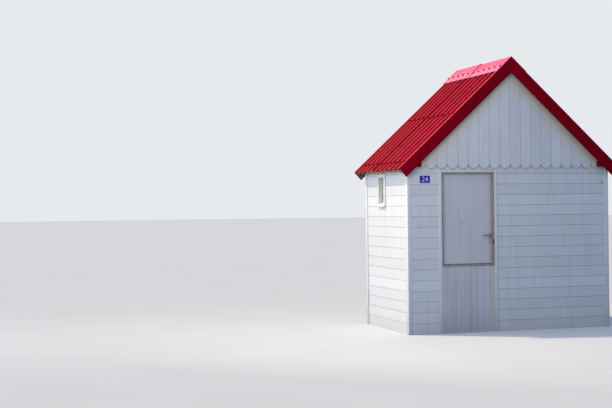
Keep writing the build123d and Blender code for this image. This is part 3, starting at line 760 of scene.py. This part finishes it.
def finishes(hut):
    """The settings of every finish, by what makes it and by its name."""
    colours, boards = hut.colours, hut.boards
    wall, dirt, leaf, iron = colours.wall, colours.dirt, colours.leaf, colours.iron
    casing, upright, slope = (26.0, 26.0, 2.4), (26.0, 26.0, 1.8), (7.0, 40.0, 7.0)
    door = dict(
        paint=leaf, dirt=DOOR_DIRT, stretch=upright, across=ALONG, board=boards.leaf_board, gloss=0.4
    )
    # Verge colour: faded red, partly a painted highlight of the lit top edges.
    faded = [0.25 * new + 0.75 * old for new, old in zip(colours.trim, colours.bleached)]
    low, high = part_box("keep_plate")
    # Middle of the near-black patch on the keep, just below the bore; the patch is partly painted shade of
    # the bore.
    dark_patch_middle = (low + high) / 2 - Vector((0, 0, 0.012))
    return {
        painted_timber: {
            "Wall paint": dict(
                paint=wall, dirt=dirt, stretch=(2.2, 2.2, 30.0), board=boards.wall_board,
                soil=0.24, gloss=0.48, joint=0.25,
            ),
            "Gable paint": dict(
                paint=wall, dirt=dirt, stretch=(30.0, 30.0, 2.2), across=ALONG, board=boards.gable_board,
                # stain here is the painted warm shade under the bargeboards.
                soil=0.34, joint=0.22, stain=0.65,
            ),
            "Trim paint": dict(paint=wall, dirt=dirt, stretch=casing, soil=0.24, gloss=0.42),
            # Cream of the reveal, lightened as painted bounce light.
            "Reveal paint": dict(paint=colours.reveal, dirt=dirt, stretch=casing, soil=0.2),
            "Red paint": dict(
                paint=colours.trim, dirt=shade(colours.trim, 0.35), stretch=slope,
                soil=0.5, gloss=0.45, bare=(0.20, 0.11, 0.07), shine=0.02,
            ),
            "Verge paint": dict(
                paint=faded, dirt=colours.trim, stretch=slope, soil=0.3, gloss=0.45, shine=0.1
            ),
            "Door paint": dict(door, soil=0.26, joint=0.04, tones=0.12),
            "Panel paint": dict(door, soil=0.4, joint=0.12),
            "Strip paint": dict(paint=colours.strip, dirt=dirt, stretch=upright, soil=0.3),
        },
        bare_timber: {
            "Sawn timber": dict(wood=colours.timber, stretch=(16.0, 16.0, 1.6), soil=0.15),
            "Floor timber": dict(
                wood=colours.timber, stretch=(1.6, 16.0, 16.0), across=BACK, board=boards.floor_board,
                soil=0.3, grey=0.3,
            ),
            "Stained timber": dict(wood=colours.stain, stretch=(2.2, 34.0, 2.2), soil=0.2),
            "Frame timber": dict(wood=colours.frame, stretch=(34.0, 34.0, 2.2), soil=0.4, grey=0.5),
            # Bare timber made paler as painted bounce light.
            "Sheltered timber": dict(wood=colours.frieze, stretch=(2.2, 2.2, 34.0), soil=0.3, grey=0.2),
        },
        metal: {
            "Dark iron": dict(base=iron, rough=0.38, metallic=0.7, tarnish=RUST),
            "Lever iron": dict(base=colours.lever, rough=0.4, metallic=0.2, tarnish=iron, spread=0.3),
            "Painted plates": dict(base=shade(leaf, 0.8), rough=0.4, tarnish=iron, spread=0.0),
            "Painted eye": dict(base=shade(wall, 0.62), rough=0.5, tarnish=iron, spread=0.2),
            "Bolt paint": dict(
                base=shade(colours.roof, 0.7), rough=0.5, tarnish=colours.valley, shine=0.05
            ),
            "Zinc": dict(base=colours.zinc, rough=0.34, metallic=1.0, tarnish=(0.24, 0.19, 0.15)),
            "Dull brass": dict(
                base=colours.brass, rough=0.45, metallic=0.3, tarnish=(0.16, 0.14, 0.09), hole=dark_patch_middle
            ),
        },
        enamel: {
            "Blue enamel": dict(base=colours.enamel, chip=(0.03, 0.02, 0.02)),
            "White enamel": dict(base=colours.digits, chip=(0.2, 0.18, 0.16)),
        },
        roof_paint: {"Roof paint": dict(colours=colours, wave=hut.fasteners.wave)},
        cap_paint: {"Cap paint": dict(colours=colours)},
        cut_edge: {"Cut edge": dict(paint=colours.roof)},
        window_glass: {"Window glass": {}},
    }


def finish(name):
    """Finds a finish by its name, or makes it."""
    found = bpy.data.materials.get(name)
    if found:
        return found
    for make, looks in finishes(bpy.context.scene.beach_hut).items():
        if name in looks:
            return make(name, **looks[name])
    raise KeyError(name)


# Pieces


class HUT_OT_clad_walls(bpy.types.Operator):
    """Cuts the walls into level boards, with a shadow gap under each"""

    bl_idname = "hut.clad_walls"
    bl_label = "Wall boards"

    def execute(self, context):
        sizes = context.scene.beach_hut.boards
        for node, (deep, side, _) in WALLS.items():
            wall = whole_copy(node)
            low, high = extent(wall)
            places = steps_between(low.z, high.z, sizes.wall_board)
            gap = sizes.filled_gap if node == "front_wall_left" else sizes.wall_gap
            cut_joints(wall, Z, deep, side, places, gap, sizes.joint_depth, point=0.0)
            cut_joints(wall, Z, deep, -side, places, sizes.wall_gap / 2, sizes.joint_depth / 3)
            finish_piece(wall, node + "_boards", "hut", "white_painted_boards", "Wall paint", node)
        return {"FINISHED"}


class HUT_OT_gable_boards(bpy.types.Operator):
    """Cuts the gables into upright boards with rounded feet"""

    bl_idname = "hut.gable_boards"
    bl_label = "Gable boards"

    def execute(self, context):
        sizes = context.scene.beach_hut.boards
        for node, side in GABLES.items():
            gable = whole_copy(node)
            ease_edges(gable, sizes.arris, 1)
            low, high = extent(gable)
            places = steps_between(low.x + sizes.arris, high.x - sizes.arris, sizes.gable_board)
            wide = places[1::3]
            tight = [place for place in places if place not in wide]
            for joints, gap in ((wide, sizes.gable_gap), (tight, sizes.tight_gap)):
                cut_joints(gable, X, Y, side, joints, gap, sizes.joint_depth)
            finish_piece(gable, node + "_cut", "hut", "white_painted_boards", "Gable paint", node)
            # Undersides of the gable boards' feet: bare end grain, partly painted bounce light.
            repaint(gable, "Sheltered timber", lambda f: f.normal.z < -0.15 and abs(f.normal.y) < 0.5)
        return {"FINISHED"}


class HUT_OT_red_timbers(bpy.types.Operator):
    """Rounds and paints the bargeboards and the wall plates"""

    bl_idname = "hut.red_timbers"
    bl_label = "Bargeboards and plates"

    def execute(self, context):
        arris = context.scene.beach_hut.boards.arris
        look = ("_painted", "red_painted_wood", "Red paint", arris)
        for end, inward in (("front", 1), ("back", -1)):
            for hand in ("left", "right"):
                board = dress(f"bargeboard_{end}_{hand}", *look)
                # Top faces get paler paint: partly sun fading, partly a painted highlight.
                repaint(board, "Verge paint", lambda f: f.normal.z > 0.6)
                repaint(board, "Stained timber", lambda f: f.normal.y * inward > 0.9)
        dress("wall_plates", *look)
        return {"FINISHED"}


class HUT_OT_white_trim(bpy.types.Operator):
    """Rounds and paints the corner boards, friezes and door casings"""

    bl_idname = "hut.white_trim"
    bl_label = "Corner boards and casings"

    def execute(self, context):
        arris = context.scene.beach_hut.boards.arris
        for node in ("corner_boards", "door_casing_sides", "door_casing_head"):
            dress(node, "_painted", "white_painted_boards", "Trim paint", arris)
        # Friezes under the eaves: bare timber, paler as painted bounce light in the eave's shade.
        dress("eave_friezes", "_bare", "weathered_frame", "Sheltered timber", arris)
        return {"FINISHED"}


class HUT_OT_roof(bpy.types.Operator):
    """Paints the sheets and ridge caps, and sets their capped bolts on the crests"""

    bl_idname = "hut.roof"
    bl_label = "Roof"

    def execute(self, context):
        sizes = context.scene.beach_hut.fasteners
        for hand, side in (("left", -1), ("right", 1)):
            down = self.slope_ways(side)[0]
            for end in ("front", "back"):
                sheet = dress(f"roof_sheet_{hand}_{end}", "_painted", "red_corrugated_sheet", "Roof paint")
                # Cut ends at the eave get pale paint, partly a painted highlight of the lit ends.
                repaint(sheet, "Cut edge", lambda f: f.normal.dot(down) > 0.9)
        paint_nodes("Cap paint", "ridge_cap_front", "ridge_cap_back")
        bolts = repeat(bolt_cap(sizes.bolt), self.bolt_places(sizes))
        finish_piece(bolts, "roof_bolts", "hut", "red_corrugated_sheet", "Bolt paint")
        return {"FINISHED"}

    def slope_ways(self, side):
        """The way down one slope of the roof, and the way out of it."""
        down = Vector((side * math.cos(PITCH), 0, -math.sin(PITCH)))
        return down, Vector((side * math.sin(PITCH), 0, math.cos(PITCH)))

    def bolt_places(self, sizes):
        """Rows through the ridge caps, into the purlins and into the wall plates."""
        front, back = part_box("roof_sheet_left_front"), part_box("roof_sheet_left_back")
        lift = (back[1].z - front[1].z) / math.cos(PITCH)
        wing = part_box("ridge_cap_front")
        cap_top = abs(under_ridge(wing[1].x, wing[0].z))
        cap_lap, sheet_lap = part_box("ridge_cap_back")[0].y, back[0].y
        rows = (
            (sizes.cap_row, LAST_CREST, cap_top, cap_lap),
            (sizes.middle_row, LAST_CREST - 1, 0, sheet_lap),
            (sizes.eave_row, LAST_CREST - 1, 0, sheet_lap),
        )
        places = []
        for side in (-1, 1):
            down, out = self.slope_ways(side)
            for row, last, above, lap in rows:
                for count in range(FIRST_CREST, last + 1):
                    crest = sizes.wave * count
                    height = above + (lift if crest > lap else 0)
                    places.append(seated(Vector((0, crest, RIDGE)) + down * row + out * height, out))
        return places


class HUT_OT_framing(bpy.types.Operator):
    """Rounds the inner timbers slightly and gives them sawn timber"""

    bl_idname = "hut.framing"
    bl_label = "Framing"

    def execute(self, context):
        arris = context.scene.beach_hut.boards.arris
        for node in ("wall_posts", "tie_beams", "ridge_beam", "purlins", "gable_frames"):
            dress(node, "_sawn", "bare_framing", "Sawn timber", arris, 1)
        paint_nodes("Sawn timber", "base_bearers", "floor_joists", "sole_plates")
        return {"FINISHED"}


class HUT_OT_floor(bpy.types.Operator):
    """Cuts the floor into boards"""

    bl_idname = "hut.floor"
    bl_label = "Floor boards"

    def execute(self, context):
        board = context.scene.beach_hut.boards.floor_board
        floor = whole_copy("floor_boards")
        low, high = extent(floor)
        gap, depth = 0.004, 0.006
        cut_joints(floor, Y, Z, 1, steps_between(low.y, high.y, board), gap, depth)
        finish_piece(floor, "floor_boards_cut", "hut", "bare_framing", "Floor timber", "floor_boards")
        return {"FINISHED"}


def bolt_bore():
    """Adds a cutter for the bore that takes the door's bolt, behind the keep plate."""
    low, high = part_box("keep_plate")
    radius, depth, point = 0.007, 0.036, 0.003
    bore = rod(24, radius, depth, (low + high) / 2, (math.pi / 2, 0, 0))
    with editing(bore):
        pick(bore, "faces", lambda f: f.normal.y > 0.9)
        bpy.ops.mesh.inset(thickness=radius * 4 / 7)
        bpy.ops.transform.translate(value=(0, point, 0))
    return bore


class HUT_OT_doorway(bpy.types.Operator):
    """Rounds the bare frame round the door and cuts the boards of the panel under it"""

    bl_idname = "hut.doorway"
    bl_label = "Doorway"

    def execute(self, context):
        arris = context.scene.beach_hut.boards.arris
        jambs = whole_copy("door_jambs")
        ease_edges(jambs, arris)
        cut_away(jambs, bolt_bore())
        finish_piece(jambs, "door_jambs_bare", "hut", "weathered_frame", "Frame timber", "door_jambs")
        # Door head: bare timber, paler as painted bounce light.
        dress("door_head", "_bare", "weathered_frame", "Sheltered timber", arris)
        dress("door_sill", "_bare", "weathered_frame", "Frame timber", arris)
        panel = whole_copy("lower_panel")
        cut_joints(panel, X, Y, -1, PANEL_JOINTS, PANEL_GAP, PANEL_GAP)
        finish_piece(panel, "lower_panel_boards", "hut", "door_paint", "Panel paint", "lower_panel")
        repaint(panel, "Strip paint", lambda f: f.calc_center_median().x > PANEL_JOINTS[-1])
        return {"FINISHED"}


def keyhole(piece):
    """Adds a cutter for the keyhole under the lever, through a piece."""
    low_plate, high_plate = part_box("lever_plates")
    low, high = extent(piece)
    low, high = low.y - PAST, high.y + PAST
    radius, slot = 0.0042, 0.012
    middle = ((low_plate.x + high_plate.x) / 2, (low + high) / 2, low_plate.z + KEYHOLE_RISE)
    cutter = rod(20, radius, high - low, middle, (math.pi / 2, 0, 0))
    with editing(cutter):
        pick(cutter, "faces", lambda f: f.normal.z < -0.8)
        bpy.ops.mesh.extrude_region_move(TRANSFORM_OT_translate={"value": (0, 0, -slot)})
    return cutter


class HUT_OT_door_leaf(bpy.types.Operator):
    """Cuts the leaf into boards, with its keyhole and a small viewer"""

    bl_idname = "hut.door_leaf"
    bl_label = "Door leaf"

    def execute(self, context):
        board = context.scene.beach_hut.boards.leaf_board
        arris, gap, depth = 0.002, 0.0022, 0.0016
        leaf = whole_copy("door_leaf")
        ease_edges(leaf, arris, 1)
        low = extent(leaf)[0]
        places = [low.x + board * count for count in LEAF_JOINTS]
        cut_joints(leaf, X, Y, -1, places, gap, depth)
        cut_away(leaf, keyhole(leaf))
        finish_piece(leaf, "door_leaf_boards", "door", "door_paint", "Door paint", "door_leaf")
        x, z = VIEWER
        viewer = repeat(dome_head(radius=0.009, height=0.002, sides=20), [seated((x, low.y, z), FRONT)])
        finish_piece(viewer, "door_viewer", "door", "dark_iron", "Dark iron")
        return {"FINISHED"}


class HUT_OT_door_iron(bpy.types.Operator):
    """Rounds the hinges, plates, levers and keep, and sets their screws"""

    bl_idname = "hut.door_iron"
    bl_label = "Door iron"

    def execute(self, context):
        screw = context.scene.beach_hut.fasteners.screw
        for node, body, slot, material, arris, segments in (
            ("hinges_on_frame", "hut", "zinc_hinge", "Zinc", 0.0006, 2),
            ("hinges_on_leaf", "door", "zinc_hinge", "Zinc", 0.0006, 2),
            ("lever_plates", "door", "dark_iron", "Painted plates", 0.0008, 2),
            ("lever_handles", "lever", "dark_iron", "Lever iron", 0.0028, 3),
            ("keep_plate", "hut", "brass_keep", "Dull brass", 0.0005, 2),
        ):
            part = whole_copy(node)
            ease_edges(part, arris, segments)
            if node == "lever_plates":
                cut_away(part, keyhole(part))
            finish_piece(part, node + "_finished", body, slot, material, node)
        on_frame, on_leaf = self.screw_places()
        for name, body, places in (
            ("screws_on_frame", "hut", on_frame),
            ("screws_on_leaf", "door", on_leaf),
        ):
            screws = repeat(screw_head(screw), places)
            finish_piece(screws, name, body, "zinc_hinge", "Zinc")
        return {"FINISHED"}

    def screw_places(self):
        """Screws of the hinges, lever plates and keep: on the frame, and on the leaf."""
        on_frame, on_leaf = [], []
        half_hinge, plate, apart, end, low_end = 0.045, 0.003, 0.032, 0.012, 0.014
        for node, places in (("hinges_on_frame", on_frame), ("hinges_on_leaf", on_leaf)):
            low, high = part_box(node)
            x = low.x + end if node == "hinges_on_frame" else high.x - low_end
            for middle in (low.z + half_hinge, high.z - half_hinge):
                for rise in (-apart, 0, apart):
                    places.append(seated((x, low.y + plate, middle + rise), BACK))
        low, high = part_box("lever_plates")
        for z in (low.z + low_end, high.z - end):
            for y, way in ((low.y, FRONT), (high.y, BACK)):
                on_leaf.append(seated(((low.x + high.x) / 2, y, z), way))
        low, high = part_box("keep_plate")
        for z in (low.z + low_end, high.z - low_end):
            on_frame.append(seated(((low.x + high.x) / 2, low.y, z), FRONT))
        return on_frame, on_leaf


class HUT_OT_window(bpy.types.Operator):
    """Rounds the window's casing and sill, glazes it and beds the pane in beads"""

    bl_idname = "hut.window"
    bl_label = "Window"

    def execute(self, context):
        arris = context.scene.beach_hut.boards.arris
        look = ("_painted", "white_painted_boards", "Trim paint", arris)
        casing = dress("window_frame", *look)
        dress("window_sill", *look)
        low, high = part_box("window_glass")
        edge = Vector((0, 1, 1)) * PAST * 3

        def in_reveal(face):
            middle = face.calc_center_median()
            inside = all(low[axis] - edge[axis] < middle[axis] < high[axis] + edge[axis] for axis in (Y, Z))
            return inside and abs(face.normal.x) < 0.5

        # The faces inside the reveal get cream paint that is partly painted bounce light.
        repaint(casing, "Reveal paint", in_reveal)
        paint_nodes("Window glass", "window_glass")
        bead = 0.010
        for name, start in (("window_beads_outer", low.x - bead), ("window_beads_inner", high.x)):
            ring = bar((start, low.y, low.z), (start + bead, high.y, high.z))
            with editing(ring):
                pick(ring, "faces", lambda f: abs(f.normal.x) > 0.9)
                bpy.ops.mesh.inset(thickness=bead)
                bpy.ops.mesh.bridge_edge_loops()
            ease_edges(ring, bead / 5)
            finish_piece(ring, name, "hut", "white_painted_boards", "Trim paint")
        return {"FINISHED"}


class HUT_OT_number_plate(bpy.types.Operator):
    """Enamels the number plate, with a raised number and two screws"""

    bl_idname = "hut.number_plate"
    bl_label = "Number plate"

    def execute(self, context):
        number = context.scene.beach_hut.number
        arris, rim, screw, from_end = 0.0004, 0.001, 0.0026, 0.013
        plate = whole_copy("number_plate")
        ease_edges(plate, arris)
        finish_piece(
            plate, "number_plate_enamelled", "hut", "blue_enamel", "Blue enamel", "number_plate"
        )
        low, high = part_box("number_plate")
        field, middle = low.y + rim, (low + high) / 2
        bpy.ops.object.select_all(action="DESELECT")
        bpy.ops.object.text_add(location=(middle.x, field, middle.z), rotation=(math.pi / 2, 0, 0))
        text = bpy.context.active_object.data
        text.body = number.number
        text.size = number.height
        text.align_x = text.align_y = "CENTER"
        text.extrude = rim / 2
        bpy.ops.object.convert(target="MESH")
        digits = settled()
        with editing(digits, "VERT"):
            bpy.ops.mesh.select_all(action="SELECT")
            bpy.ops.mesh.remove_doubles(threshold=0.00001)
            bpy.ops.mesh.dissolve_degenerate(threshold=0.00001)
        finish_piece(digits, "number_plate_digits", "hut", "blue_enamel", "White enamel")
        ends = (low.x + from_end, high.x - from_end)
        screws = repeat(screw_head(screw), [seated((x, field, middle.z), FRONT) for x in ends])
        finish_piece(screws, "number_plate_screws", "hut", "zinc_hinge", "Zinc")
        return {"FINISHED"}


class HUT_OT_eye_plate(bpy.types.Operator):
    """Screws a small eye plate to the front wall, by the right corner board"""

    bl_idname = "hut.eye_plate"
    bl_label = "Eye plate"

    def execute(self, context):
        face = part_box("front_wall_right")[0].y
        x, z = EYE_PLATE
        wide, tall, thick, arris, ring, wire = 0.012, 0.024, 0.002, 0.0006, 0.012, 0.0024
        plate = bar((x - wide, face - thick, z - tall), (x + wide, face, z + tall))
        ease_edges(plate, arris)
        bpy.ops.mesh.primitive_torus_add(
            major_segments=32, minor_segments=10, major_radius=ring, minor_radius=wire,
            location=(x, face - ring, z), rotation=(0, math.pi / 2, 0),
        )
        eye = settled()
        with editing(eye):
            pick(eye, "faces", lambda f: f.calc_center_median().y > face - thick / 2)
            bpy.ops.mesh.delete(type="FACE")
            pick(eye, "edges", lambda e: e.is_boundary)
            bpy.ops.mesh.edge_face_add()
        apply_modifier(plate, "BOOLEAN", operation="UNION", solver="EXACT", object=eye)
        bpy.data.objects.remove(eye)
        finish_piece(plate, "eye_plate", "hut", "zinc_hinge", "Painted eye")
        screw, apart = 0.0028, 0.018
        places = [seated((x, face - thick, z + rise), FRONT) for rise in (-apart, apart)]
        finish_piece(repeat(screw_head(screw), places), "eye_plate_screws", "hut", "zinc_hinge", "Zinc")
        return {"FINISHED"}


class HUT_OT_nails(bpy.types.Operator):
    """Sets the painted nail heads of the wall and gable boards"""

    bl_idname = "hut.nails"
    bl_label = "Nails"

    def execute(self, context):
        hut = context.scene.beach_hut
        for name, places, paint in (
            ("wall_nails", self.wall_places(hut.boards), "Wall paint"),
            ("gable_nails", self.gable_places(hut.boards), "Gable paint"),
        ):
            nails = repeat(dome_head(hut.fasteners.nail, height=0.0008, sides=8), places)
            finish_piece(nails, name, "hut", "white_painted_boards", paint)
        return {"FINISHED"}

    def wall_places(self, sizes):
        """Two nails to a board where it crosses each post."""
        places = []
        for node, (deep, side, columns) in WALLS.items():
            low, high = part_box(node)
            way = Vector((0, 0, 0))
            way[deep] = side
            for height in [count + share for count in NAILED_BOARDS for share in NAIL_SHARES]:
                for column in columns:
                    spot = Vector((0, 0, height * sizes.wall_board))
                    spot[deep] = high[deep] if side > 0 else low[deep]
                    spot[1 - deep] = column
                    places.append(seated(spot, way))
        return places

    def gable_places(self, sizes):
        """Two nails to a gable board at its foot, and two near the rafter."""
        places = []
        for node, side in GABLES.items():
            low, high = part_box(node)
            face = low.y if side < 0 else high.y
            for count in GABLE_BOARDS:
                middle = (count + 0.5) * sizes.gable_board
                head = RIDGE - abs(middle) * math.tan(PITCH) - HEAD_NAILS
                for z in (FOOT_NAILS, head) if head > LEAST_HEAD else (FOOT_NAILS,):
                    for shift in (-GABLE_NAILS, GABLE_NAILS):
                        places.append(seated((middle + shift, face, z), (0, side, 0)))
        return places


class HUT_OT_stage(bpy.types.Operator):
    """Lays the pale floor, lights the hut and sets the camera"""

    bl_idname = "hut.stage"
    bl_label = "Stage"

    def execute(self, context):
        stage = context.scene.beach_hut.stage
        context.scene.view_settings.view_transform = "Standard"
        self.lay_floor(stage)
        self.set_world(context.scene, stage)
        self.set_lamps(stage)
        self.set_camera(context.scene)
        return {"FINISHED"}

    def lay_floor(self, stage):
        """A wide floor, pale to the camera and duller to the light that it throws back."""
        bpy.ops.object.select_all(action="DESELECT")
        bpy.ops.mesh.primitive_circle_add(
            vertices=96, radius=160, fill_type="NGON", location=(0, 0, -PAST / 2)
        )
        floor = bpy.context.active_object
        floor.name = "floor"
        material, graph, shader, place = new_material("Pale floor")
        seen = graph.add("ShaderNodeLightPath").outputs["Is Camera Ray"]
        cloud = graph.spread(graph.noise(place, 0.8, 3.0), 0.3, 0.7)
        pale = graph.mix(cloud, stage.floor, shade(stage.floor, 0.97))
        graph.feed(shader.inputs["Base Color"], graph.mix(seen, THROWN_BACK, pale))
        shader.inputs["Roughness"].default_value = 0.9
        shader.inputs["Specular IOR Level"].default_value = 0.1
        floor.data.materials.append(material)

    def set_world(self, scene, stage):
        """Soft light from all round, behind a pale backdrop that the camera, gloss and glass show."""
        scene.world = bpy.data.worlds.new("Soft light")
        scene.world.use_nodes = True
        scene.world.node_tree.nodes.clear()
        graph = Graph(scene.world.node_tree)
        rays = graph.add("ShaderNodeLightPath").outputs
        seen = graph.math("MAXIMUM", rays["Is Camera Ray"], rays["Is Transmission Ray"])
        seen = graph.math("MAXIMUM", seen, rays["Is Glossy Ray"])
        soft = graph.add("ShaderNodeBackground", Color=stage.fill, Strength=stage.fill_strength)
        pale = graph.add("ShaderNodeBackground", Color=stage.backdrop, Strength=1.0)
        both = graph.add("ShaderNodeMixShader")
        graph.feed_all(both.inputs, (seen, soft.outputs[0], pale.outputs[0]))
        graph.add("ShaderNodeOutputWorld", Surface=both.outputs[0])

    def set_lamps(self, stage):
        """A key lamp high at the left, and soft panels that the camera doesn't see."""
        bpy.ops.object.light_add(type="SUN", location=(-9, 2, 11))
        key = bpy.context.active_object
        key.name = "key_lamp"
        key.data.energy = stage.key_strength
        key.data.angle = math.radians(4)
        key.data.color = KEY_TINT
        key.rotation_euler = facing(KEY_FROM).to_euler()
        powers = (stage.front_strength, stage.side_strength)
        for (name, place, aim, size, spread, tint), power in zip(PANELS, powers):
            bpy.ops.object.light_add(type="AREA", location=place)
            panel = bpy.context.active_object
            panel.name = name
            panel.data.size = size
            panel.data.spread = math.radians(spread)
            panel.data.energy = power
            panel.data.color = tint
            panel.visible_camera = False
            panel.rotation_euler = facing(Vector(place) - Vector(aim)).to_euler()

    def set_camera(self, scene):
        """The camera stands to the left of the hut at eye height."""
        bpy.ops.object.camera_add(location=CAMERA_PLACE)
        camera = bpy.context.active_object
        camera.name = "camera"
        camera.data.lens = SENSOR_WIDTH * FOCAL_PIXELS / IMAGE_WIDTH
        camera.data.clip_end = 500
        turn, tilt, roll = (Matrix.Rotation(math.radians(angle), 4, axis) for angle, axis in CAMERA_TURN)
        camera.rotation_euler = (turn @ tilt @ roll).to_euler()
        scene.camera = camera


class BeachHut(bpy.types.PropertyGroup):
    """All sizes and colours of the hut."""

    boards: PointerProperty(type=BoardSizes)
    fasteners: PointerProperty(type=FastenerSizes)
    colours: PointerProperty(type=HutColours)
    number: PointerProperty(type=NumberText)
    stage: PointerProperty(type=StageSettings)


STEPS = (
    HUT_OT_stage, HUT_OT_clad_walls, HUT_OT_gable_boards, HUT_OT_red_timbers, HUT_OT_white_trim,
    HUT_OT_roof, HUT_OT_framing, HUT_OT_floor, HUT_OT_doorway, HUT_OT_door_leaf, HUT_OT_door_iron,
    HUT_OT_window, HUT_OT_number_plate, HUT_OT_eye_plate, HUT_OT_nails,
)


class HUT_PT_panel(bpy.types.Panel):
    """Sizes, colours and building steps of the hut"""

    bl_label = "Beach hut"
    bl_idname = "HUT_PT_panel"
    bl_space_type = "VIEW_3D"
    bl_region_type = "UI"
    bl_category = "Beach hut"

    def draw(self, context):
        hut = context.scene.beach_hut
        for group in (hut.boards, hut.fasteners, hut.colours, hut.number, hut.stage):
            box = self.layout.box()
            for name in group.__annotations__:
                box.prop(group, name)
        for step in STEPS:
            self.layout.operator(step.bl_idname)


CLASSES = (
    BoardSizes, FastenerSizes, HutColours, NumberText, StageSettings, BeachHut, *STEPS, HUT_PT_panel,
)


def register():
    """Registers the classes and hangs the settings on the scene."""
    for each in CLASSES:
        bpy.utils.register_class(each)
    bpy.types.Scene.beach_hut = PointerProperty(type=BeachHut)


def unregister():
    """Takes the settings and classes away again."""
    del bpy.types.Scene.beach_hut
    for each in reversed(CLASSES):
        bpy.utils.unregister_class(each)


def main():
    """Builds the hut's looks and its stage."""
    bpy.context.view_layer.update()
    register()
    bpy.ops.hut.stage()
    bpy.ops.hut.clad_walls()
    bpy.ops.hut.gable_boards()
    bpy.ops.hut.red_timbers()
    bpy.ops.hut.white_trim()
    bpy.ops.hut.roof()
    bpy.ops.hut.framing()
    bpy.ops.hut.floor()
    bpy.ops.hut.doorway()
    bpy.ops.hut.door_leaf()
    bpy.ops.hut.door_iron()
    bpy.ops.hut.window()
    bpy.ops.hut.number_plate()
    bpy.ops.hut.eye_plate()
    bpy.ops.hut.nails()


if __name__ == "__main__":
    main()
